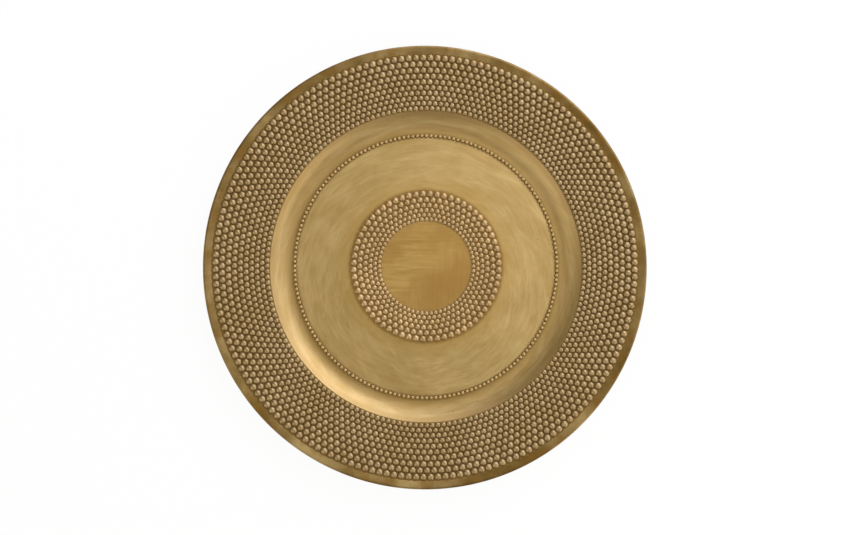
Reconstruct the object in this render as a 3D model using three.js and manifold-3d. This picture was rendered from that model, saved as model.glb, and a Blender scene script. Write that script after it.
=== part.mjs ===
// A round decorative plate: a spun brass dish with a wired edge, a pressed band of beads on its
// rim, a beaded ring around its well, a pressed medallion at its centre, and a foot ring that
// stands on four rubber feet.
// Millimetres, +Z up. The origin is on the table, under the middle of the plate.

import * as THREE from 'three';
import Module from 'manifold-3d';
import { mergeVertices } from 'three/addons/utils/BufferGeometryUtils.js';

// The spun dish
const plateDiameter = 330;
const sheetThickness = 0.8;
const wellMouthDiameter = 232.3;
const wellDepth = 5.4;
const coveRadius = 22;
const coveSlope = THREE.MathUtils.degToRad(30);
const leastWallRise = 1.6;
const rimRise = 4.2;
const lipLand = 3.5;
const lipSlope = THREE.MathUtils.degToRad(12);

// The wire rolled into the edge of the dish
const wireDiameter = 1.2;
const wireClearance = 0.2;
const curlEnd = THREE.MathUtils.degToRad(-135);

// The beaded pieces: a bead is this high for each millimetre between beads of its row
const beadHeightPerStep = 0.34;
const pressedBase = 0.8;
const rimRows = 10;
const rimBeads = 180;
const medallionDiameter = 114.6;
const medallionDiscDiameter = 67.6;
const medallionRows = 6;
const medallionBeads = 64;
const wellRingBeads = 180;
const wellRingBeadDiameter = 3.1;
const wellRingNeckDiameter = 1.6;
const wellRingSetback = 0.7;

// The foot ring and its rubber feet
const footInset = 12.6;
const footWidth = 9;
const footHeight = 3.5;
const footChamfer = 0.6;
const footSeatWall = 1.2;
const footSeatDepth = 1;
const rubberStandout = 1.2;
const rubberFeet = 4;

// The film of solder or glue under a seated piece, and the play around it
const bondGap = 0.1;
const seatClearance = 0.3;

// How finely round things are cut
const turnSteps = 60;
const wireSides = 6;
const rubberSides = 20;
const coveSteps = 5;
const curlTopSteps = 3;
const curlUnderSteps = 4;

// Heights and radii that follow from the sizes above
const plateRadius = plateDiameter / 2;
const mouthRadius = wellMouthDiameter / 2;
const footTop = rubberStandout + footHeight;
const floorTop = footTop + bondGap + sheetThickness;
const mouthTop = floorTop + wellDepth;
const seatDepth = pressedBase + bondGap;

const coveRoom = (wellDepth - leastWallRise) / (1 - Math.cos(coveSlope));
const coveFillet = Math.min(coveRadius, coveRoom);
const wallRise = wellDepth - coveFillet * (1 - Math.cos(coveSlope));
const coveWidth = coveFillet * Math.sin(coveSlope) + wallRise / Math.tan(coveSlope);
const floorRadius = mouthRadius - coveWidth;

const wireRadius = wireDiameter / 2;
const curlRadius = wireRadius + wireClearance + sheetThickness;
const curlCentreRadius = plateRadius - curlRadius;
const curlStartRadius = curlCentreRadius - curlRadius * Math.sin(lipSlope);
const rimSeatOuter = curlStartRadius - sheetThickness - lipLand;
const rimSlope = Math.atan2(rimRise, rimSeatOuter - mouthRadius);
const lipTop = rimTop(rimSeatOuter) + (sheetThickness + lipLand) * Math.tan(lipSlope);
const curlCentre = point(curlCentreRadius, lipTop - curlRadius * Math.cos(lipSlope));

const medallionRadius = medallionDiameter / 2;
const medallionSeatRadius = medallionRadius + seatClearance;

const wellRingRadius = floorRadius - wellRingSetback - wellRingBeadDiameter / 2;
const plainFloorRadius = wellRingRadius - wellRingBeadDiameter / 2 - seatClearance;
const footOuter = floorRadius - footInset;
const footInner = footOuter - footWidth;
const footMiddle = (footInner + footOuter) / 2;
const footSeatRadius = footWidth / 2 - footSeatWall;
const rubberRadius = footSeatRadius - seatClearance;
const rubberHeight = rubberStandout + footSeatDepth - bondGap;

const wasm = await Module();
wasm.setup();

// A point of a section: distance from the axis, and height.
function point(radius, height) {
  return new THREE.Vector2(radius, height);
}

// The height of the rim's upper face at a distance from the axis.
function rimTop(radius) {
  return mouthTop + (radius - mouthRadius) * Math.tan(rimSlope);
}

function arc(centre, radius, from, to, steps) {
  return Array.from({ length: steps + 1 }, (_, i) => {
    const angle = THREE.MathUtils.lerp(from, to, i / steps);
    return point(centre.x + radius * Math.cos(angle), centre.y + radius * Math.sin(angle));
  });
}

// The line that runs at a set distance to the right of another, with mitred corners.
function lineBeside(line, distance) {
  const rightOf = (from, to) => {
    const along = to.clone().sub(from).normalize();
    return point(along.y, -along.x);
  };
  return line.map((here, i) => {
    const first = rightOf(line[Math.max(i - 1, 0)], line[Math.max(i, 1)]);
    const last = line.length - 1;
    const second = rightOf(line[Math.min(i, last - 1)], line[Math.min(i + 1, last)]);
    const mitre = first.clone().add(second).divideScalar(1 + first.dot(second));
    return here.clone().addScaledVector(mitre, distance);
  });
}

// A section turned about the axis. The section runs anticlockwise.
function turned(section) {
  return new THREE.LatheGeometry(section, turnSteps).rotateX(Math.PI / 2);
}

// The dish from its middle out to the end of the rolled edge, with the given points where the
// wall of the well meets the seat of the rim band.
function dishLine(mouth) {
  const medallionSeat = floorTop - seatDepth;
  const coveCentre = point(floorRadius, floorTop + coveFillet);
  const down = -Math.PI / 2;
  const up = Math.PI / 2;
  return [
    point(0, medallionSeat),
    point(medallionSeatRadius, medallionSeat),
    point(medallionSeatRadius, floorTop),
    point(plainFloorRadius, floorTop),
    ...arc(coveCentre, coveFillet, down, down + coveSlope, coveSteps),
    ...mouth,
    point(rimSeatOuter, rimTop(rimSeatOuter) - seatDepth),
    point(rimSeatOuter, rimTop(rimSeatOuter)),
    ...arc(curlCentre, curlRadius, up + lipSlope, 0, curlTopSteps),
    ...arc(curlCentre, curlRadius, 0, curlEnd, curlUnderSteps).slice(1),
  ];
}

// The wall ends above in a crisp edge around the seat. Below, wall and seat meet in a bend.
function dish() {
  const edge = [point(mouthRadius, mouthTop), point(mouthRadius, mouthTop - seatDepth)];
  const bendRadius = mouthRadius - seatDepth / (Math.tan(coveSlope) - Math.tan(rimSlope));
  const bend = [point(bendRadius, rimTop(bendRadius) - seatDepth)];
  const upper = dishLine(edge);
  const under = lineBeside(dishLine(bend), sheetThickness);
  return turned([...under, ...upper.reverse()]);
}

function edgeWire() {
  return turned(arc(curlCentre, wireRadius, 0, 2 * Math.PI, wireSides));
}

// Rings of points about the axis, and the faces between them.
class RingMesh {
  points = [];
  faces = [];

  add(radius, angle, height) {
    this.points.push(radius * Math.cos(angle), radius * Math.sin(angle), height);
    return this.points.length / 3 - 1;
  }

  // Faces between two rings with as many points, looking outwards if the second is above.
  join(lower, upper) {
    lower.forEach((here, i) => {
      const next = (i + 1) % lower.length;
      this.faces.push(here, lower[next], upper[i], lower[next], upper[next], upper[i]);
    });
  }

  // Faces from a ring to one point, looking up if the point is inside the ring.
  close(ring, middle) {
    ring.forEach((here, i) => this.faces.push(here, ring[(i + 1) % ring.length], middle));
  }

  geometry() {
    const geometry = new THREE.BufferGeometry();
    geometry.setAttribute('position', new THREE.Float32BufferAttribute(this.points, 3));
    geometry.setIndex(this.faces);
    return geometry;
  }
}

// Staggered rows of beads between two edges. Every row has as many beads, so they grow outwards.
// Each bead is a four-sided point whose corners lie midway between it and its neighbours.
// The rings of points along the two edges come back.
function beadRows(mesh, { rows, beads, innerEdge, outerEdge, baseTop }) {
  const halfStep = Math.PI / beads;
  const firstRow = innerEdge / (1 - halfStep);
  const growth = (outerEdge / (1 + halfStep) / firstRow) ** (1 / (rows - 1));
  const slots = 2 * beads;
  const isPeak = (row, slot) => (row + slot) % 2 === 0;
  const lines = Array.from({ length: rows }, (_, row) => {
    const radius = firstRow * growth ** row;
    const beadHeight = 2 * halfStep * radius * beadHeightPerStep;
    return Array.from({ length: slots }, (__, slot) => {
      const height = baseTop(radius) + (isPeak(row, slot) ? beadHeight : 0);
      return mesh.add(radius, slot * halfStep, height);
    });
  });
  for (let row = 0; row < rows - 1; row += 1) {
    for (let slot = 0; slot < slots; slot += 1) {
      const next = (slot + 1) % slots;
      const [a, b] = [lines[row][slot], lines[row][next]];
      const [c, d] = [lines[row + 1][next], lines[row + 1][slot]];
      mesh.faces.push(...(isPeak(row, slot) ? [a, d, b, b, d, c] : [a, c, b, a, d, c]));
    }
  }
  const border = (row, edge, inner) => {
    const firstGap = isPeak(row, 0) ? 1 : 0;
    const ring = Array.from({ length: beads }, (_, i) => (
      mesh.add(edge, (firstGap + 2 * i) * halfStep, baseTop(edge))
    ));
    ring.forEach((here, i) => {
      const next = ring[(i + 1) % beads];
      const gap = firstGap + 2 * i;
      const [left, peak, right] = [gap, gap + 1, gap + 2].map((slot) => lines[row][slot % slots]);
      mesh.faces.push(...(inner
        ? [here, peak, next, here, left, peak, next, peak, right]
        : [here, next, peak, here, peak, left, next, right, peak]));
    });
    return ring;
  };
  return { inner: border(0, innerEdge, true), outer: border(rows - 1, outerEdge, false) };
}

// A copy of a ring of points at another height.
function ringAt(mesh, ring, height) {
  return ring.map((index) => {
    const [x, y] = mesh.points.slice(3 * index, 3 * index + 2);
    return mesh.add(Math.hypot(x, y), Math.atan2(y, x), height);
  });
}

function rimBeadBand() {
  const mesh = new RingMesh();
  const innerEdge = mouthRadius + seatClearance;
  const outerEdge = rimSeatOuter - seatClearance;
  const top = beadRows(mesh, {
    rows: rimRows, beads: rimBeads, innerEdge, outerEdge, baseTop: rimTop,
  });
  const innerBack = ringAt(mesh, top.inner, rimTop(innerEdge) - pressedBase);
  const outerBack = ringAt(mesh, top.outer, rimTop(outerEdge) - pressedBase);
  mesh.join(top.inner, innerBack);
  mesh.join(innerBack, outerBack);
  mesh.join(outerBack, top.outer);
  return mesh.geometry();
}

function centreMedallion() {
  const mesh = new RingMesh();
  const top = beadRows(mesh, {
    rows: medallionRows,
    beads: medallionBeads,
    innerEdge: medallionDiscDiameter / 2,
    outerEdge: medallionRadius,
    baseTop: () => floorTop,
  });
  const back = ringAt(mesh, top.outer, floorTop - pressedBase);
  mesh.close(top.inner, mesh.add(0, 0, floorTop));
  mesh.join(back, top.outer);
  mesh.close(back.reverse(), mesh.add(0, 0, floorTop - pressedBase));
  return mesh.geometry();
}

// A wire of beads with a flat back, which thins to a neck between each two beads.
function wellBeadRing() {
  const mesh = new RingMesh();
  const halfStep = Math.PI / wellRingBeads;
  const seat = floorTop + bondGap;
  const sides = [0, Math.PI / 2, Math.PI].map((angle) => (
    Array.from({ length: 2 * wellRingBeads }, (_, slot) => {
      const size = (slot % 2 === 0 ? wellRingBeadDiameter : wellRingNeckDiameter) / 2;
      const radius = wellRingRadius + size * Math.cos(angle);
      return mesh.add(radius, slot * halfStep, seat + size * Math.sin(angle));
    })
  ));
  sides.forEach((side, i) => mesh.join(side, sides[(i + 1) % sides.length]));
  return mesh.geometry();
}

function solidOf(geometry) {
  const bare = geometry.clone();
  bare.deleteAttribute('normal');
  bare.deleteAttribute('uv');
  const merged = mergeVertices(bare);
  return new wasm.Manifold(new wasm.Mesh({
    numProp: 3,
    vertProperties: new Float32Array(merged.attributes.position.array),
    triVerts: new Uint32Array(merged.index.array),
  }));
}

function geometryOf(solid) {
  const mesh = solid.getMesh();
  const geometry = new THREE.BufferGeometry();
  geometry.setAttribute('position', new THREE.BufferAttribute(mesh.vertProperties, 3));
  geometry.setIndex(new THREE.BufferAttribute(mesh.triVerts, 1));
  return geometry;
}

// An upright round plug under the foot ring, one of the ring of rubber feet.
function footPlug(radius, low, high, number) {
  const angle = (number + 0.5) * 2 * Math.PI / rubberFeet;
  return new THREE.CylinderGeometry(radius, radius, high - low, rubberSides)
    .rotateX(Math.PI / 2)
    .translate(footMiddle * Math.cos(angle), footMiddle * Math.sin(angle), (low + high) / 2);
}

// A flat ring with chamfered lower edges and a seat for each rubber foot in its underside.
function footRing() {
  const ring = turned([
    point(footInner, footTop),
    point(footInner, rubberStandout + footChamfer),
    point(footInner + footChamfer, rubberStandout),
    point(footOuter - footChamfer, rubberStandout),
    point(footOuter, rubberStandout + footChamfer),
    point(footOuter, footTop),
    point(footInner, footTop),
  ]);
  let solid = solidOf(ring);
  for (let number = 0; number < rubberFeet; number += 1) {
    const seat = footPlug(footSeatRadius, 0, rubberStandout + footSeatDepth, number);
    solid = solid.subtract(solidOf(seat));
  }
  return geometryOf(solid);
}

const spunBrass = { color: 0xb3945c, roughness: 0.38, metalness: 1 };
const pressedBrass = { color: 0x9a7e50, roughness: 0.42, metalness: 1 };
const darkBrass = { color: 0x846b3e, roughness: 0.45, metalness: 1 };
const steel = { color: 0x8d8f90, roughness: 0.35, metalness: 1 };
const rubber = { color: 0x2b2826, roughness: 0.85, metalness: 0 };

function piece(name, geometry, finish) {
  const mesh = new THREE.Mesh(geometry, new THREE.MeshStandardMaterial(finish));
  mesh.name = name;
  return mesh;
}

const plate = new THREE.Group();
plate.add(
  piece('plate_body', dish(), spunBrass),
  piece('edge_wire', edgeWire(), steel),
  piece('rim_bead_band', rimBeadBand(), pressedBrass),
  piece('well_bead_ring', wellBeadRing(), darkBrass),
  piece('centre_medallion', centreMedallion(), pressedBrass),
  piece('foot_ring', footRing(), spunBrass),
);
for (let number = 0; number < rubberFeet; number += 1) {
  const foot = footPlug(rubberRadius, 0, rubberHeight, number);
  plate.add(piece(`rubber_foot_${number + 1}`, foot, rubber));
}

export default plate;
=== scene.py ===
import math

import bpy
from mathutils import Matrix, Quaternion, Vector


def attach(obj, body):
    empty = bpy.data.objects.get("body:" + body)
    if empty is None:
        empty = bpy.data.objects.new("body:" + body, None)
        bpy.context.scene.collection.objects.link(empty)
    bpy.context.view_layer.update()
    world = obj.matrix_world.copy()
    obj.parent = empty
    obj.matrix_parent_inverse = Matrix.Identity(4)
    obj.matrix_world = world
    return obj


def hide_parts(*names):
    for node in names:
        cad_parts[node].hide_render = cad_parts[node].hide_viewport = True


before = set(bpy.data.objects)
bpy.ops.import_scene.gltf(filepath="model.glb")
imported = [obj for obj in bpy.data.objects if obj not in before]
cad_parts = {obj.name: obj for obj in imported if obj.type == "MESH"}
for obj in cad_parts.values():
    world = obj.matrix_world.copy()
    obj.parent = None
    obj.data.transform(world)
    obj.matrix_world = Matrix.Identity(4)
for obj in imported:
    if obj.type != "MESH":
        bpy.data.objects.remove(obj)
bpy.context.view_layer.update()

# Sizes in metres, slopes and counts, the same as the plate's solids have
MM = 0.001
PLATE_RADIUS = 165 * MM
SHEET = 0.8 * MM
MOUTH_RADIUS = 116.15 * MM
WELL_DEPTH = 5.4 * MM
COVE_RADIUS = 22 * MM
COVE_SLOPE = math.radians(30)
RIM_RISE = 4.2 * MM
LIP_LAND = 3.5 * MM
LIP_SLOPE = math.radians(12)
WIRE_RADIUS = 0.6 * MM
WIRE_CLEARANCE = 0.2 * MM
CURL_END = math.radians(-135)

PRESSED_BASE = 0.8 * MM
BEAD_HEIGHT_PER_STEP = 0.34
RIM_ROWS = 10
RIM_BEADS = 180
MEDALLION_RADIUS = 57.3 * MM
MEDALLION_DISC_RADIUS = 33.8 * MM
MEDALLION_ROWS = 6
MEDALLION_BEADS = 64
WELL_RING_BEADS = 180
WELL_RING_BEAD_RADIUS = 1.55 * MM
WELL_RING_NECK_RADIUS = 0.8 * MM
WELL_RING_SETBACK = 0.7 * MM

FOOT_INSET = 12.6 * MM
FOOT_WIDTH = 9 * MM
FOOT_HEIGHT = 3.5 * MM
FOOT_CHAMFER = 0.6 * MM
FOOT_SEAT_WALL = 1.2 * MM
FOOT_SEAT_DEPTH = 1 * MM
RUBBER_STANDOUT = 1.2 * MM
RUBBER_FEET = 4

BOND_GAP = 0.1 * MM
SEAT_CLEARANCE = 0.3 * MM

# Forms finer than the solids have. A bead's rings and its sink are in half-widths of the bead
BEAD_HALF_WIDTH_PER_STEP = 0.497
DOME_RINGS = (0, 0.4, 0.72, 0.94)
DOME_POWER = 2.4
BEAD_SINK = 0.12
RUBBER_ROUNDING = 0.4 * MM

# How finely round things are cut
TURN_STEPS = 288
COVE_STEPS = 14
CURL_STEPS = 24
WIRE_SIDES = 20
BEAD_SIDES = 10
NECK_STEPS = 8
RUBBER_SIDES = 40
ROUNDING_STEPS = 4
SHARP = math.radians(35)
SAME_PLACE = 0.002 * MM

# Heights and radii that follow from the sizes above
FOOT_TOP = RUBBER_STANDOUT + FOOT_HEIGHT
FLOOR_TOP = FOOT_TOP + BOND_GAP + SHEET
MOUTH_TOP = FLOOR_TOP + WELL_DEPTH
SEAT_DEPTH = PRESSED_BASE + BOND_GAP
WALL_RISE = WELL_DEPTH - COVE_RADIUS * (1 - math.cos(COVE_SLOPE))
COVE_WIDTH = COVE_RADIUS * math.sin(COVE_SLOPE) + WALL_RISE / math.tan(COVE_SLOPE)
FLOOR_RADIUS = MOUTH_RADIUS - COVE_WIDTH
CURL_RADIUS = WIRE_RADIUS + WIRE_CLEARANCE + SHEET
CURL_MIDDLE = PLATE_RADIUS - CURL_RADIUS
CURL_START = CURL_MIDDLE - CURL_RADIUS * math.sin(LIP_SLOPE)
RIM_SEAT_OUTER = CURL_START - SHEET - LIP_LAND
RIM_SLOPE = math.atan2(RIM_RISE, RIM_SEAT_OUTER - MOUTH_RADIUS)
MEDALLION_SEAT_RADIUS = MEDALLION_RADIUS + SEAT_CLEARANCE
WELL_RING_RADIUS = FLOOR_RADIUS - WELL_RING_SETBACK - WELL_RING_BEAD_RADIUS
FOOT_OUTER = FLOOR_RADIUS - FOOT_INSET
FOOT_INNER = FOOT_OUTER - FOOT_WIDTH
FOOT_MIDDLE = (FOOT_INNER + FOOT_OUTER) / 2
FOOT_SEAT_RADIUS = FOOT_WIDTH / 2 - FOOT_SEAT_WALL
FOOT_SEAT_TOP = RUBBER_STANDOUT + FOOT_SEAT_DEPTH
RUBBER_RADIUS = FOOT_SEAT_RADIUS - SEAT_CLEARANCE
RUBBER_HEIGHT = FOOT_SEAT_TOP - BOND_GAP


def rim_top(radius):
    """Height of the rim's upper face at a distance from the axis."""
    return MOUTH_TOP + (radius - MOUTH_RADIUS) * math.tan(RIM_SLOPE)


def floor_top(radius):
    """Height of the well's floor, the same all over."""
    return FLOOR_TOP


LIP_TOP = rim_top(RIM_SEAT_OUTER) + (SHEET + LIP_LAND) * math.tan(LIP_SLOPE)
CURL_CENTRE = (CURL_MIDDLE, LIP_TOP - CURL_RADIUS * math.cos(LIP_SLOPE))


# Modelling by hand

def begin():
    """Deselect everything, before a new piece is started."""
    bpy.ops.object.select_all(action="DESELECT")


def take(*pieces):
    """Select these pieces only. The last one is the active one."""
    begin()
    for piece in pieces:
        piece.select_set(True)
        bpy.context.view_layer.objects.active = piece


def edit(piece):
    """Go into edit mode with all of the piece selected."""
    take(piece)
    bpy.ops.object.mode_set(mode="EDIT")
    bpy.ops.mesh.select_all(action="SELECT")


def leave():
    bpy.ops.object.mode_set(mode="OBJECT")


def apply_modifier(piece, kind, **settings):
    modifier = piece.modifiers.new(kind.title(), kind)
    for name, value in settings.items():
        setattr(modifier, name, value)
    take(piece)
    bpy.ops.object.modifier_apply(modifier=modifier.name)


def settle(piece):
    """Put the piece's place into its mesh, so that the object sits at the origin."""
    take(piece)
    bpy.ops.object.transform_apply(location=True, rotation=True, scale=True)


def smooth(piece):
    take(piece)
    bpy.ops.object.shade_smooth_by_angle(angle=SHARP)


def arc(centre, radius, start, end, steps):
    """A round stretch of a section. Each point is a distance from the axis and a height."""
    angles = [start + (end - start) * i / steps for i in range(steps + 1)]
    return [(centre[0] + radius * math.cos(a), centre[1] + radius * math.sin(a)) for a in angles]


def turned(name, section, steps=TURN_STEPS):
    """A section drawn point by point from one vertex, then spun about the axis."""
    begin()
    bpy.ops.mesh.primitive_plane_add(size=SHEET)
    piece = bpy.context.object
    piece.name = name
    edit(piece)
    bpy.ops.mesh.merge(type="CENTER")
    bpy.ops.mesh.select_all(action="SELECT")
    bpy.ops.transform.translate(value=(section[0][0], 0, section[0][1]))
    for (radius, height), (next_radius, next_height) in zip(section, section[1:]):
        step = (next_radius - radius, 0, next_height - height)
        bpy.ops.mesh.extrude_vertices_move(TRANSFORM_OT_translate={"value": step})
    bpy.ops.mesh.select_all(action="SELECT")
    bpy.ops.mesh.spin(steps=steps, angle=2 * math.pi, center=(0, 0, 0), axis=(0, 0, 1))
    bpy.ops.mesh.select_all(action="SELECT")
    bpy.ops.mesh.remove_doubles(threshold=SAME_PLACE)
    bpy.ops.mesh.normals_make_consistent(inside=False)
    leave()
    return piece


def face_up(piece):
    """Turn an open sheet over if its middle looks down."""
    middle = min(piece.data.polygons, key=lambda face: face.center.xy.length)
    if middle.normal.z < 0:
        edit(piece)
        bpy.ops.mesh.flip_normals()
        leave()


def combine(piece, other, operation):
    """Join another closed mesh to the piece, or cut it out of the piece. The other is used up."""
    apply_modifier(piece, "BOOLEAN", operation=operation, solver="MANIFOLD", object=other)
    bpy.data.objects.remove(other)


def domed_bead(height):
    """A bead of half-width 1, flatter on top than a ball, with its foot below its base."""
    dome = [(across, height * math.sqrt(1 - across**DOME_POWER)) for across in DOME_RINGS]
    return turned("domed_bead", [*dome, (1, -BEAD_SINK), (0, -BEAD_SINK)], BEAD_SIDES)


def ring_of_beads(seed, count, radius, height, half_width, turn):
    """Copies of a bead all round the axis. The first is turned from +X by an angle."""
    take(seed)
    bpy.ops.object.duplicate()
    beads = bpy.context.object
    beads.location = (radius * math.cos(turn), radius * math.sin(turn), height)
    beads.rotation_euler = (0, 0, turn)
    beads.scale = (half_width, half_width, half_width)
    settle(beads)
    begin()
    bpy.ops.object.empty_add(rotation=(0, 0, 2 * math.pi / count))
    step = bpy.context.object
    apply_modifier(
        beads,
        "ARRAY",
        count=count,
        use_relative_offset=False,
        use_object_offset=True,
        offset_object=step,
    )
    bpy.data.objects.remove(step)
    return beads


class BeadRows:
    """Staggered rows of beads between two edges. Every row has as many, so they grow outwards."""

    def __init__(self, rows, beads, inner_edge, outer_edge, base_top):
        self.rows = rows
        self.beads = beads
        self.base_top = base_top
        self.half_step = math.pi / beads
        self.first = inner_edge / (1 - self.half_step)
        last = outer_edge / (1 + self.half_step)
        self.growth = (last / self.first) ** (1 / (rows - 1))

    def radius(self, row):
        return self.first * self.growth**row

    def step(self, row):
        return 2 * self.half_step * self.radius(row)

    def turn(self, row):
        return self.half_step * (row % 2)

    def model(self, seed):
        """All the rows, each a ring of copies of the seed."""
        made = []
        for row in range(self.rows):
            radius = self.radius(row)
            half_width = self.step(row) * BEAD_HALF_WIDTH_PER_STEP
            height = self.base_top(radius)
            made.append(
                ring_of_beads(seed, self.beads, radius, height, half_width, self.turn(row))
            )
        take(*made)
        bpy.ops.object.join()
        return bpy.context.object


def finished(piece, node, material):
    """Shade the piece, give it its finish and put it in the place of its solid."""
    settle(piece)
    smooth(piece)
    piece.data.materials.clear()
    piece.data.materials.append(material)
    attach(piece, "root")
    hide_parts(node)


# Finishes

def shade(red, green, blue):
    """A colour given as screen values from 0 to 255, as a linear colour."""
    def linear(value):
        value = value / 255
        return value / 12.92 if value <= 0.04045 else ((value + 0.055) / 1.055) ** 2.4
    return (linear(red), linear(green), linear(blue), 1)


# Tones of the dish
GOLD = shade(177, 150, 97)
PALE_GOLD = shade(195, 165, 112)
WALL_GOLD = shade(187, 158, 110)
DULL_PATCH = shade(170, 138, 82)
SOFT_STROKE = shade(168, 137, 81)
CROSSING_STROKE = shade(206, 178, 124)
BRIGHT_STROKE = shade(208, 181, 130)
DARK_STROKE = shade(150, 119, 66)
MOUTH_GOLD = shade(163, 133, 86)
COVE_PATINA = shade(146, 116, 64)
MEDALLION_HALO = shade(174, 140, 78)
# Soil with painted shade, for the floor beside the beads
SOIL_AND_SHADE = shade(96, 70, 34)
DARK_LIP = shade(108, 83, 40)
WORN_LIP = shade(168, 143, 96)
LIP_STAIN = shade(128, 95, 44)
SPECK = shade(116, 86, 44)

# Tones of the beads and the disc
RIM_BEADS_TONES = (shade(181, 157, 118), shade(163, 139, 100))
# Crease tone of the rim: dark glaze between the beads, partly painted shade
RIM_CREASE = shade(112, 82, 28)
MEDALLION_BEADS_TONES = (shade(202, 171, 124), shade(186, 157, 114))
# Crease tone of the medallion: dark glaze between the beads, partly painted shade
MEDALLION_CREASE = shade(146, 110, 48)
BEAD_CLOUD = shade(158, 131, 88)
BEAD_GRAIN = shade(131, 104, 64)
# The bed between the beads: dark glaze, partly painted shade
BEAD_BED = shade(142, 114, 64)
DISC_GOLD = shade(164, 130, 70)
PALE_DISC = shade(198, 163, 102)
DISC_CLOUD = shade(160, 124, 66)
# Painted shade: the disc is darker where its strokes turn upright
UPRIGHT_DISC = shade(160, 122, 66)
WIRE_BEAD_GOLD = shade(194, 163, 108)
WIRE_BEAD_CLOUD = shade(184, 152, 99)
# Painted shade on the lower part of each bead of the fine ring
WIRE_BEAD_PAINTED_SHADE = shade(70, 45, 5)

# Tones of the hidden wire and the feet
STEEL = shade(150, 152, 154)
BRIGHT_STEEL = shade(190, 191, 192)
RUBBER = shade(40, 38, 36)
RUBBER_BLOOM = shade(58, 55, 52)

# Where tones of the dish fade: distances from an edge, a radius in the cove, heights by the floor
WALL_FADE = 4 * MM
MOUTH_FADE = (4.5 * MM, 2 * MM)
COVE_PATINA_END = 109 * MM
HALO_WIDTH = 14 * MM
RING_SOIL_AND_SHADE_REACH = 2.8 * MM
MEDALLION_SOIL_AND_SHADE_WIDTH = 2.2 * MM
SOIL_AND_SHADE_HEIGHTS = (FLOOR_TOP - 0.5 * SHEET, FLOOR_TOP - 0.3 * SHEET)
LIP_FADE = (0.8 * MM, 0.2 * MM)

# Where a bead's crease and the bed beside it begin and end, in half-widths of the bead
RIM_CREASE_START = 0.88
MEDALLION_CREASE_START = 0.92
BEAD_EDGE = 1.0
BED_TONE_END = 1.25
CREASE_FADE = (1.15, 1.4)
INMOST_CREASE_WIDTH = 0.6

# How dark creases are, at the inmost edge of the rows and elsewhere, and how ragged dark edges run
CREASE_SHARES = (0.2, 0.92)
BEAD_RAGGED = (-0.06, 0.06)
WIRE_BEAD_RAGGED = (-0.1, 0.1)

# Roughness, metal and gloss. A pair is for where a pattern is low and where it is high
BRUSHED_ROUGHNESS = (0.36, 0.5)
CREASE_ROUGHNESS = (0.42, 0.6)
CREASE_METAL = (0.85, 0.8)
BEAD_GLOSS = 0.2
WIRE_BEAD_ROUGHNESS = (0.34, 0.5)
WIRE_BEAD_METAL = 0.6
WIRE_BEAD_GLOSS = 0.1
STEEL_ROUGHNESS = (0.28, 0.42)
RUBBER_ROUGHNESS = (0.72, 0.9)

# The disc's strokes: their scales along and across, where they turn upright, and the disc's soft edge
DISC_STROKE = (34, 460)
DISC_TURN = (-4 * MM, 22 * MM)
DISC_EDGE = 0.5 * MM

# Most of a noise lies between these
SPREAD = (0.3, 0.7)

# How deep the grain of a surface looks
GRAIN_DEPTH = 0.02 * MM
WIRE_LINE_DEPTH = 0.01 * MM
RUBBER_GRAIN_DEPTH = 0.05 * MM


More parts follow.
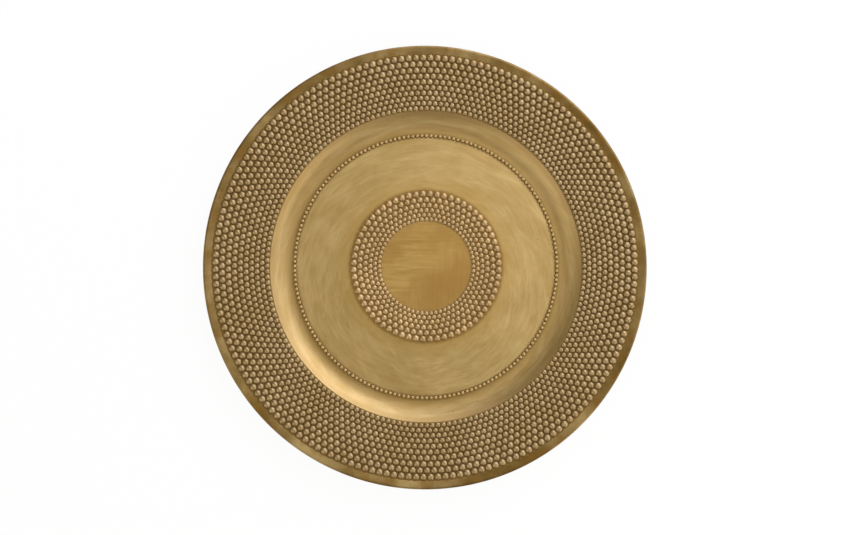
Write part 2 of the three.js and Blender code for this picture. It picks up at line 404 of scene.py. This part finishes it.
class Finish:
    """A material, with short ways to add nodes to it. Most return the new node's output."""

    def __init__(self, name):
        self.material = bpy.data.materials.new(name)
        self.material.use_nodes = True
        self.tree = self.material.node_tree
        self.shader = self.tree.nodes["Principled BSDF"]
        self.place = self.add("ShaderNodeTexCoord").outputs["Object"]

    def add(self, kind, inputs=None, **settings):
        """The node itself, with its inputs linked or set."""
        node = self.tree.nodes.new(kind)
        for name, value in settings.items():
            setattr(node, name, value)
        for socket, value in (inputs or {}).items():
            self.set(node, socket, value)
        return node

    def set(self, node, socket, value):
        if isinstance(value, bpy.types.NodeSocket):
            self.tree.links.new(value, node.inputs[socket])
        else:
            node.inputs[socket].default_value = value

    def give(self, **sockets):
        """Set the shader's own sockets. An underscore stands for a space."""
        for name, value in sockets.items():
            self.set(self.shader, name.replace("_", " "), value)

    def math(self, operation, first, second=0.0):
        inputs = {0: first, 1: second}
        return self.add("ShaderNodeMath", inputs, operation=operation).outputs[0]

    def vector(self, operation, first, second=(0, 0, 0)):
        inputs = {0: first, 1: second}
        return self.add("ShaderNodeVectorMath", inputs, operation=operation).outputs["Vector"]

    def length(self, vector):
        return self.add("ShaderNodeVectorMath", {0: vector}, operation="LENGTH").outputs["Value"]

    def height(self):
        return self.add("ShaderNodeSeparateXYZ", {0: self.place}).outputs["Z"]

    def noise(self, vector, scale=1, detail=3, roughness=0.55):
        inputs = {"Vector": vector, "Scale": scale, "Detail": detail, "Roughness": roughness}
        return self.add("ShaderNodeTexNoise", inputs).outputs["Fac"]

    def between(self, value, low, high, first=0.0, last=1.0):
        """The value's way from low to high, as a number from first to last, and no further."""
        inputs = {"Value": value, "From Min": low, "From Max": high, "To Min": first, "To Max": last}
        return self.add("ShaderNodeMapRange", inputs, clamp=True).outputs["Result"]

    def mix(self, factor, first, second):
        """A colour between two others."""
        inputs = {0: factor, 6: first, 7: second}
        return self.add("ShaderNodeMix", inputs, data_type="RGBA").outputs[2]

    def blend(self, factor, first, second):
        """A number between two others."""
        inputs = {0: factor, 2: first, 3: second}
        return self.add("ShaderNodeMix", inputs, data_type="FLOAT").outputs[0]

    def tint(self, colour, tone, pattern, start, full, share=1.0):
        """Lay a tone over a colour: none where the pattern is at start, its share at full."""
        return self.mix(self.between(pattern, start, full, 0, share), colour, tone)

    def join(self, x, y):
        return self.add("ShaderNodeCombineXYZ", {"X": x, "Y": y}).outputs[0]

    def bump(self, height, distance, strength):
        inputs = {"Height": height, "Distance": distance, "Strength": strength}
        self.give(Normal=self.add("ShaderNodeBump", inputs).outputs["Normal"])

    def moved(self, shift):
        """The place moved by a shift, so that a second noise differs from the first."""
        return self.vector("ADD", self.place, shift)

    def flat_place(self, shift=(0, 0, 0)):
        """The place seen from above, moved sideways by a shift."""
        level = self.vector("MULTIPLY", self.place, (1, 1, 0))
        return self.vector("ADD", level, shift)

    def strokes(self, flat, along, across):
        """Streaks that run round the axis, with the noise's scales along and across them."""
        heading = self.vector("NORMALIZE", flat)
        heading = self.vector("MULTIPLY", heading, (along, along, 0))
        outward = self.math("MULTIPLY", self.length(flat), across)
        lift = self.add("ShaderNodeCombineXYZ", {"Z": outward}).outputs[0]
        return self.noise(self.vector("ADD", heading, lift), detail=4, roughness=0.6)

    def straight_strokes(self, along_x, along_y):
        """Streaks that run straight, at one scale along +X and another along +Y."""
        stretched = self.vector("MULTIPLY", self.place, (along_x, along_y, 0))
        return self.noise(stretched, detail=4, roughness=0.6)


def stroked_gold(finish, radius, fine):
    """Clouds of gold with strokes over them, and the tones of the wall and the mouth."""
    soft = finish.strokes(finish.flat_place((0.012, 0.02, 0)), along=3, across=300)
    crossing = finish.strokes(finish.flat_place((-0.02, 0.03, 0)), along=3.5, across=240)
    cloud = finish.noise(finish.place, scale=24)
    patch = finish.noise(finish.moved((0.3, 0.1, 0.2)), scale=60, detail=4)
    colour = finish.tint(GOLD, PALE_GOLD, cloud, 0.34, 0.66)
    colour = finish.tint(colour, WALL_GOLD, radius, FLOOR_RADIUS, FLOOR_RADIUS + WALL_FADE, share=0.75)
    colour = finish.tint(colour, DULL_PATCH, patch, 0.44, 0.66, share=0.5)
    colour = finish.tint(colour, SOFT_STROKE, soft, 0.4, 0.66, share=0.6)
    colour = finish.tint(colour, CROSSING_STROKE, crossing, 0.5, 0.72, share=0.4)
    colour = finish.tint(colour, BRIGHT_STROKE, fine, 0.5, 0.75, share=0.35)
    colour = finish.tint(colour, DARK_STROKE, fine, 0.45, 0.28, share=0.2)
    start, full = (MOUTH_RADIUS - inside for inside in MOUTH_FADE)
    return finish.tint(colour, MOUTH_GOLD, radius, start, full, share=0.5)


def patina_soil_and_shade(finish, colour, radius):
    """Patina in the cove and around the medallion, and soil with painted shade on the floor beside the
    beads.
    """
    in_cove = finish.between(radius, WELL_RING_RADIUS, FLOOR_RADIUS, 0, 0.6)
    up_cove = finish.between(radius, FLOOR_RADIUS, COVE_PATINA_END, 1, 0)
    colour = finish.mix(finish.math("MULTIPLY", in_cove, up_cove), colour, COVE_PATINA)
    halo_end = MEDALLION_RADIUS + HALO_WIDTH
    colour = finish.tint(colour, MEDALLION_HALO, radius, halo_end, MEDALLION_RADIUS, share=0.6)

    # Soil with painted shade: the floor darkens on both sides of the fine ring and just outside the
    # medallion
    from_ring = finish.math("ABSOLUTE", finish.math("SUBTRACT", radius, WELL_RING_RADIUS))
    by_ring = finish.between(from_ring, WELL_RING_BEAD_RADIUS, RING_SOIL_AND_SHADE_REACH, 0.8, 0)
    soil_and_shade_end = MEDALLION_RADIUS + MEDALLION_SOIL_AND_SHADE_WIDTH
    by_medallion = finish.between(radius, MEDALLION_RADIUS, soil_and_shade_end, 1, 0)
    soil_and_shade = finish.math("MAXIMUM", by_ring, by_medallion)
    smudge = finish.noise(finish.place, scale=420)
    soil_and_shade = finish.math("MULTIPLY", soil_and_shade, finish.between(smudge, 0.3, 0.6, 0.15, 0.6))
    upper_side = finish.between(finish.height(), *SOIL_AND_SHADE_HEIGHTS)
    soil_and_shade = finish.math("MULTIPLY", soil_and_shade, upper_side)
    return finish.mix(soil_and_shade, colour, SOIL_AND_SHADE)


def stained_lip(finish, colour, radius):
    """The lip's own tones, dark with worn places and stains."""
    wear = finish.noise(finish.moved((0.2, 0.4, 0)), scale=18, detail=5)
    stain = finish.noise(finish.place, scale=90, detail=4)
    lip_colour = finish.tint(DARK_LIP, WORN_LIP, wear, 0.4, 0.62)
    lip_colour = finish.tint(lip_colour, LIP_STAIN, stain, 0.44, 0.7, share=0.9)
    start, full = (RIM_SEAT_OUTER - inside for inside in LIP_FADE)
    return finish.tint(colour, lip_colour, radius, start, full)


def turned_brass():
    """Antique gold with strokes that run round the plate, darkened beside its beads."""
    finish = Finish("turned_brass")
    flat = finish.flat_place()
    radius = finish.length(flat)
    fine = finish.strokes(flat, along=4, across=900)
    colour = stroked_gold(finish, radius, fine)
    colour = patina_soil_and_shade(finish, colour, radius)
    colour = stained_lip(finish, colour, radius)
    specks = finish.noise(finish.place, scale=620, detail=1)
    colour = finish.tint(colour, SPECK, specks, 0.75, 0.82, share=0.8)
    rough = finish.between(fine, *SPREAD, *BRUSHED_ROUGHNESS)
    finish.give(Base_Color=colour, Metallic=1.0, Roughness=rough)
    finish.bump(fine, GRAIN_DEPTH, strength=0.5)
    return finish.material


def nearest_bead(finish, rows, flat, radius):
    """How far the nearest bead's middle is, in half-widths, and a number of that bead's own."""
    spread = finish.add("ShaderNodeSeparateXYZ", {0: flat}).outputs
    angle = finish.math("ARCTAN2", spread["Y"], spread["X"])
    along = finish.math("DIVIDE", angle, 2 * rows.half_step)
    outward = finish.math("DIVIDE", radius, rows.first)
    outward = finish.math("LOGARITHM", outward, rows.growth)
    row_gap = math.log(rows.growth) / (2 * rows.half_step)
    inner = finish.math("FLOOR", outward)
    inner = finish.math("MINIMUM", finish.math("MAXIMUM", inner, 0), rows.rows - 2)

    def bead_in(row):
        stagger = finish.math("MULTIPLY", finish.math("FLOORED_MODULO", row, 2), 0.5)
        way = finish.math("SUBTRACT", along, stagger)
        number = finish.math("ROUND", way)
        aside = finish.math("SUBTRACT", way, number)
        beyond = finish.math("MULTIPLY", finish.math("SUBTRACT", outward, row), row_gap)
        away = finish.length(finish.join(aside, beyond))
        return away, finish.math("FLOORED_MODULO", number, rows.beads)

    outer = finish.math("ADD", inner, 1)
    inner_away, inner_number = bead_in(inner)
    outer_away, outer_number = bead_in(outer)
    is_outer = finish.math("LESS_THAN", outer_away, inner_away)
    away = finish.math("MINIMUM", inner_away, outer_away)
    number = finish.blend(is_outer, inner_number, outer_number)
    row = finish.math("ADD", inner, is_outer)
    tone = finish.add(
        "ShaderNodeTexWhiteNoise", {"Vector": finish.join(number, row)}, noise_dimensions="2D"
    )
    return finish.math("DIVIDE", away, BEAD_HALF_WIDTH_PER_STEP), tone.outputs["Value"]


def beaded(finish, rows, tones, crease_start, crease_colour):
    """Colour, metal, roughness and grain of beads, each of its own tone, with dark creases of glaze
    and painted shade.
    """
    flat = finish.flat_place()
    radius = finish.length(flat)
    away, tone = nearest_bead(finish, rows, flat, radius)
    grain = finish.noise(finish.place, scale=900)
    cloud = finish.noise(finish.place, scale=30)
    colour = finish.mix(tone, *tones)
    colour = finish.tint(colour, BEAD_CLOUD, cloud, 0.35, 0.65, share=0.5)
    colour = finish.tint(colour, BEAD_GRAIN, grain, 0.52, 0.72, share=0.6)
    # The bed and the creases between beads are darker: dark glaze, partly painted shade
    colour = finish.tint(colour, BEAD_BED, away, BEAD_EDGE, BED_TONE_END)

    ragged = finish.math("ADD", away, finish.between(grain, *SPREAD, *BEAD_RAGGED))
    to_edge = finish.between(ragged, crease_start, BEAD_EDGE)
    past_edge = finish.between(away, *CREASE_FADE)
    crease = finish.math("SUBTRACT", to_edge, past_edge)
    inmost = rows.first * (1 - rows.half_step)
    inmost_end = inmost + INMOST_CREASE_WIDTH * rows.half_step * rows.first
    depth = finish.between(radius, inmost, inmost_end, *CREASE_SHARES)
    crease = finish.math("MULTIPLY", crease, depth)
    colour = finish.mix(crease, colour, crease_colour)
    rough = finish.between(crease, 0, 1, *CREASE_ROUGHNESS)
    metal = finish.between(crease, 0, 1, *CREASE_METAL)
    return colour, metal, rough, grain


def rim_brass(rows):
    """Antique gold of the rim's beads."""
    finish = Finish("rim_brass")
    colour, metal, rough, grain = beaded(
        finish, rows, RIM_BEADS_TONES, RIM_CREASE_START, RIM_CREASE
    )
    finish.give(Base_Color=colour, Metallic=metal, Roughness=rough, Specular_IOR_Level=BEAD_GLOSS)
    finish.bump(grain, GRAIN_DEPTH, strength=0.5)
    return finish.material


def medallion_brass(rows):
    """Antique gold of the medallion: beads around a disc with straight brush strokes."""
    finish = Finish("medallion_brass")
    colour, metal, rough, grain = beaded(
        finish, rows, MEDALLION_BEADS_TONES, MEDALLION_CREASE_START, MEDALLION_CREASE
    )
    radius = finish.length(finish.flat_place())
    disc_start = MEDALLION_DISC_RADIUS - DISC_EDGE
    disc = finish.between(radius, disc_start, MEDALLION_DISC_RADIUS, 1, 0)
    long, close = DISC_STROKE
    across = finish.straight_strokes(long, close)
    upright = finish.straight_strokes(close, long)
    corner = finish.add(
        "ShaderNodeVectorMath", {0: finish.place, 1: (1, -1, 0)}, operation="DOT_PRODUCT"
    )
    turn = finish.between(corner.outputs["Value"], *DISC_TURN)
    brushed = finish.blend(turn, across, upright)
    cloud = finish.noise(finish.place, scale=36)
    plain = finish.tint(DISC_GOLD, PALE_DISC, brushed, *SPREAD)
    plain = finish.tint(plain, DISC_CLOUD, cloud, 0.42, 0.62, share=0.7)
    # Painted shade, darker where the strokes turn upright
    plain = finish.tint(plain, UPRIGHT_DISC, turn, 0, 1, share=0.5)
    disc_rough = finish.between(brushed, *SPREAD, *BRUSHED_ROUGHNESS)
    finish.give(
        Base_Color=finish.mix(disc, colour, plain),
        Metallic=finish.math("MAXIMUM", disc, metal),
        Roughness=finish.blend(disc, rough, disc_rough),
        Specular_IOR_Level=BEAD_GLOSS,
    )
    finish.bump(finish.blend(disc, grain, brushed), GRAIN_DEPTH, strength=0.5)
    return finish.material


def bead_wire_brass():
    """Gold on top of each bead of the fine ring, with painted shade lower down towards the floor."""
    finish = Finish("bead_wire_brass")
    grain = finish.noise(finish.place, scale=900)
    cloud = finish.noise(finish.place, scale=160, detail=2)
    rise = finish.between(finish.height(), FLOOR_TOP, FLOOR_TOP + WELL_RING_BEAD_RADIUS)
    ragged = finish.math("ADD", rise, finish.between(grain, *SPREAD, *WIRE_BEAD_RAGGED))
    colour = finish.tint(WIRE_BEAD_GOLD, WIRE_BEAD_CLOUD, cloud, 0.35, 0.65)
    # Painted shade: each bead darkens from its top down towards the floor
    colour = finish.tint(colour, WIRE_BEAD_PAINTED_SHADE, ragged, 0.78, 0.44)
    finish.give(
        Base_Color=colour,
        Metallic=WIRE_BEAD_METAL,
        Roughness=finish.between(grain, *SPREAD, *WIRE_BEAD_ROUGHNESS),
        Specular_IOR_Level=WIRE_BEAD_GLOSS,
    )
    finish.bump(grain, GRAIN_DEPTH, strength=0.4)
    return finish.material


def drawn_steel():
    """Bright steel wire with fine lines along it."""
    finish = Finish("drawn_steel")
    lines = finish.strokes(finish.flat_place(), along=6, across=3000)
    colour = finish.tint(STEEL, BRIGHT_STEEL, lines, *SPREAD)
    rough = finish.between(lines, *SPREAD, *STEEL_ROUGHNESS)
    finish.give(Base_Color=colour, Metallic=1.0, Roughness=rough)
    finish.bump(lines, WIRE_LINE_DEPTH, strength=0.4)
    return finish.material


def foot_rubber():
    """Matt black rubber with a fine moulded grain."""
    finish = Finish("foot_rubber")
    grain = finish.noise(finish.place, scale=2400)
    bloom = finish.noise(finish.place, scale=300, detail=2)
    colour = finish.tint(RUBBER, RUBBER_BLOOM, bloom, 0.35, 0.7)
    finish.give(Base_Color=colour, Roughness=finish.between(grain, *SPREAD, *RUBBER_ROUGHNESS))
    finish.bump(grain, RUBBER_GRAIN_DEPTH, strength=0.5)
    return finish.material


# The pieces

def dish_line():
    """The upper face of the dish from its middle out to the end of the rolled edge."""
    seat = FLOOR_TOP - SEAT_DEPTH
    cove_centre = (FLOOR_RADIUS, FLOOR_TOP + COVE_RADIUS)
    down = -math.pi / 2
    up = math.pi / 2
    return [
        (0, seat),
        (MEDALLION_SEAT_RADIUS, seat),
        (MEDALLION_SEAT_RADIUS, FLOOR_TOP),
        *arc(cove_centre, COVE_RADIUS, down, down + COVE_SLOPE, COVE_STEPS),
        (MOUTH_RADIUS, MOUTH_TOP),
        (MOUTH_RADIUS, MOUTH_TOP - SEAT_DEPTH),
        (RIM_SEAT_OUTER, rim_top(RIM_SEAT_OUTER) - SEAT_DEPTH),
        (RIM_SEAT_OUTER, rim_top(RIM_SEAT_OUTER)),
        *arc(CURL_CENTRE, CURL_RADIUS, up + LIP_SLOPE, CURL_END, CURL_STEPS),
    ]


def plate_body():
    """Sheet spun into a dish, with seats for the pressed pieces and a rolled edge."""
    piece = turned("spun_dish", dish_line())
    face_up(piece)
    apply_modifier(
        piece, "SOLIDIFY", thickness=SHEET, offset=-1, use_even_offset=True, use_rim=True
    )
    return piece


def edge_wire():
    """The wire that the edge is rolled round."""
    section = arc(CURL_CENTRE, WIRE_RADIUS, 0, 2 * math.pi, WIRE_SIDES)
    return turned("rolled_in_wire", section)


def rim_rows():
    inner = MOUTH_RADIUS + SEAT_CLEARANCE
    outer = RIM_SEAT_OUTER - SEAT_CLEARANCE
    return BeadRows(RIM_ROWS, RIM_BEADS, inner, outer, rim_top)


def medallion_rows():
    inner = MEDALLION_DISC_RADIUS
    return BeadRows(MEDALLION_ROWS, MEDALLION_BEADS, inner, MEDALLION_RADIUS, floor_top)


def rim_bead_band(seed, rows):
    """A pressed band of staggered bead rows."""
    section = [
        (MOUTH_RADIUS, MOUTH_TOP),
        (MOUTH_RADIUS, MOUTH_TOP - PRESSED_BASE),
        (RIM_SEAT_OUTER, rim_top(RIM_SEAT_OUTER) - PRESSED_BASE),
        (RIM_SEAT_OUTER, rim_top(RIM_SEAT_OUTER)),
        (MOUTH_RADIUS, MOUTH_TOP),
    ]
    piece = turned("beaded_rim_band", section)
    combine(piece, rows.model(seed), "UNION")
    return piece


def centre_medallion(seed, rows):
    """A pressed disc with staggered bead rows around it."""
    section = [
        (0, FLOOR_TOP),
        (MEDALLION_SEAT_RADIUS, FLOOR_TOP),
        (MEDALLION_SEAT_RADIUS, FLOOR_TOP - PRESSED_BASE),
        (0, FLOOR_TOP - PRESSED_BASE),
    ]
    piece = turned("beaded_medallion", section)
    combine(piece, rows.model(seed), "UNION")
    return piece


def well_bead_ring(seed):
    """Beaded wire with a flat back, bent into a ring around the well's floor."""
    seat = FLOOR_TOP + BOND_GAP
    neck = arc((WELL_RING_RADIUS, seat), WELL_RING_NECK_RADIUS, 0, math.pi, NECK_STEPS)
    piece = turned("fine_bead_ring", [*neck, neck[0]])
    beads = ring_of_beads(
        seed, WELL_RING_BEADS, WELL_RING_RADIUS, seat, WELL_RING_BEAD_RADIUS, 0
    )
    edit(beads)
    bpy.ops.mesh.bisect(
        plane_co=(0, 0, seat), plane_no=(0, 0, 1), clear_inner=True, use_fill=True
    )
    leave()
    combine(piece, beads, "UNION")
    return piece


def upright_plug(name, radius, height, number):
    """A round plug that stands at height 0, at the place of one of the rubber feet."""
    angle = (number + 0.5) * 2 * math.pi / RUBBER_FEET
    begin()
    bpy.ops.mesh.primitive_cylinder_add(
        vertices=RUBBER_SIDES,
        radius=radius,
        depth=height,
        location=(FOOT_MIDDLE * math.cos(angle), FOOT_MIDDLE * math.sin(angle), height / 2),
    )
    piece = bpy.context.object
    piece.name = name
    settle(piece)
    return piece


def foot_ring():
    """A flat ring with chamfered lower edges and a seat for each rubber foot."""
    piece = turned(
        "soldered_foot_ring",
        [
            (FOOT_INNER, FOOT_TOP),
            (FOOT_INNER, RUBBER_STANDOUT + FOOT_CHAMFER),
            (FOOT_INNER + FOOT_CHAMFER, RUBBER_STANDOUT),
            (FOOT_OUTER - FOOT_CHAMFER, RUBBER_STANDOUT),
            (FOOT_OUTER, RUBBER_STANDOUT + FOOT_CHAMFER),
            (FOOT_OUTER, FOOT_TOP),
            (FOOT_INNER, FOOT_TOP),
        ],
    )
    for number in range(RUBBER_FEET):
        cutter = upright_plug("seat_cutter", FOOT_SEAT_RADIUS, FOOT_SEAT_TOP, number)
        combine(piece, cutter, "DIFFERENCE")
    return piece


def rubber_foot(number):
    """A rubber plug with rounded edges."""
    piece = upright_plug(f"rubber_plug_{number + 1}", RUBBER_RADIUS, RUBBER_HEIGHT, number)
    apply_modifier(
        piece,
        "BEVEL",
        width=RUBBER_ROUNDING,
        segments=ROUNDING_STEPS,
        limit_method="ANGLE",
        angle_limit=SHARP,
    )
    return piece


def build_plate():
    turned_finish = turned_brass()
    rubber_finish = foot_rubber()
    pressed_bead = domed_bead(BEAD_HEIGHT_PER_STEP / BEAD_HALF_WIDTH_PER_STEP)
    wire_bead = domed_bead(1)
    rim = rim_rows()
    medallion = medallion_rows()
    finished(plate_body(), "plate_body", turned_finish)
    finished(edge_wire(), "edge_wire", drawn_steel())
    finished(rim_bead_band(pressed_bead, rim), "rim_bead_band", rim_brass(rim))
    finished(
        centre_medallion(pressed_bead, medallion),
        "centre_medallion",
        medallion_brass(medallion),
    )
    finished(well_bead_ring(wire_bead), "well_bead_ring", bead_wire_brass())
    finished(foot_ring(), "foot_ring", turned_finish)
    for number in range(RUBBER_FEET):
        node = f"rubber_foot_{number + 1}"
        finished(rubber_foot(number), node, rubber_finish)
    bpy.data.objects.remove(pressed_bead)
    bpy.data.objects.remove(wire_bead)


# The studio

CAMERA_DISTANCE = 0.7
CAMERA_LENS = 39.7
CAMERA_TILT = math.radians(3)
CAMERA_SIDE = math.radians(222)
CAMERA_TARGET = (0.47 * MM, -1.31 * MM, 15.3 * MM)
FLOOR_SIZE = 40
FLOOR_WHITE = (0.90, 0.90, 0.90, 1)
FLOOR_CLOUD = (0.93, 0.93, 0.93, 1)
FLOOR_ROUGHNESS = 0.9
FLOOR_GLOW_SHARE = 0.94
BACKDROP_RADIUS = 18
BACKDROP_HEIGHT = 2
LAMP_DISTANCE = 2.2
COOL = (0.95, 1.0, 1.18)
NEUTRAL = (1.0, 1.0, 1.0)
WARM = (1.08, 1.0, 0.7)
SURROUNDINGS_BRIGHTNESS = 0.27

# Name, width, height, azimuth, elevation, brightness and colour of each lamp
LAMPS = (
    ("key_softbox", 3.0, 1.5, 67, 22, 2.2, COOL),
    ("right_softbox", 3.0, 1.5, 338, 20, 1.72, NEUTRAL),
    ("upper_softbox", 1.5, 1.5, 45, 48, 1.85, COOL),
    ("top_softbox", 1.5, 1.5, 45, 72, 0.96, NEUTRAL),
    ("left_softbox", 2.0, 2.6, 214, 42, 0.98, NEUTRAL),
    ("fill_softbox", 1.5, 1.5, 315, 48, 0.4, NEUTRAL),
)


def pale_floor():
    """White for the floor, which keeps a soft shadow, and for the backdrop."""
    finish = Finish("pale_floor")
    cloud = finish.noise(finish.place, scale=3, detail=2)
    colour = finish.tint(FLOOR_WHITE, FLOOR_CLOUD, cloud, *SPREAD)
    finish.give(Base_Color=colour, Roughness=FLOOR_ROUGHNESS)
    glow = finish.add("ShaderNodeEmission", {"Color": (1, 1, 1, 1), "Strength": 1.0})
    path = finish.add("ShaderNodeLightPath").outputs
    seen = finish.math("MAXIMUM", path["Is Camera Ray"], path["Is Glossy Ray"])
    seen = finish.math("MAXIMUM", seen, path["Is Transmission Ray"])
    share = finish.math("MULTIPLY", seen, FLOOR_GLOW_SHARE)
    blend = finish.add(
        "ShaderNodeMixShader", {0: share, 1: finish.shader.outputs[0], 2: glow.outputs[0]}
    )
    output = finish.tree.nodes["Material Output"]
    finish.tree.links.new(blend.outputs[0], output.inputs["Surface"])
    return finish.material


def floor_and_backdrop():
    """A wide floor and a low wall far around it."""
    white = pale_floor()
    begin()
    bpy.ops.mesh.primitive_plane_add(size=FLOOR_SIZE)
    floor = bpy.context.object
    floor.name = "studio_floor"
    begin()
    bpy.ops.mesh.primitive_cylinder_add(
        vertices=TURN_STEPS,
        radius=BACKDROP_RADIUS,
        depth=BACKDROP_HEIGHT,
        end_fill_type="NOTHING",
        location=(0, 0, BACKDROP_HEIGHT / 2),
    )
    backdrop = bpy.context.object
    backdrop.name = "studio_backdrop"
    settle(backdrop)
    for stage in (floor, backdrop):
        stage.data.materials.append(white)


def softbox(name, width, height, azimuth, elevation, brightness, colour):
    """A lamp of a set brightness that looks at the middle of the plate."""
    azimuth = math.radians(azimuth)
    elevation = math.radians(elevation)
    begin()
    bpy.ops.object.light_add(
        type="AREA",
        location=(
            LAMP_DISTANCE * math.cos(elevation) * math.cos(azimuth),
            LAMP_DISTANCE * math.cos(elevation) * math.sin(azimuth),
            LAMP_DISTANCE * math.sin(elevation),
        ),
        rotation=(0, math.pi / 2 - elevation, azimuth),
    )
    lamp = bpy.context.object
    lamp.name = name
    lamp.data.shape = "RECTANGLE"
    lamp.data.size = height
    lamp.data.size_y = width
    lamp.data.color = colour
    lamp.data.energy = brightness * math.pi * width * height


def surroundings():
    """An even, slightly warm light from all around."""
    world = bpy.context.scene.world or bpy.data.worlds.new("studio")
    bpy.context.scene.world = world
    world.use_nodes = True
    background = world.node_tree.nodes["Background"]
    background.inputs["Color"].default_value = (*WARM, 1)
    background.inputs["Strength"].default_value = SURROUNDINGS_BRIGHTNESS


def camera_above():
    """A camera that looks almost straight down."""
    side = Vector((math.cos(CAMERA_SIDE), math.sin(CAMERA_SIDE), 0))
    away = side * math.sin(CAMERA_TILT) + Vector((0, 0, math.cos(CAMERA_TILT)))
    turn = Quaternion(Vector((0, 0, 1)).cross(side), CAMERA_TILT)
    begin()
    bpy.ops.object.camera_add(
        location=Vector(CAMERA_TARGET) + away * CAMERA_DISTANCE, rotation=turn.to_euler()
    )
    camera = bpy.context.object
    camera.data.lens = CAMERA_LENS
    bpy.context.scene.camera = camera


def studio():
    floor_and_backdrop()
    for lamp in LAMPS:
        softbox(*lamp)
    surroundings()
    camera_above()
    bpy.context.scene.view_settings.view_transform = "Standard"


build_plate()
studio()

bpy.context.view_layer.update()
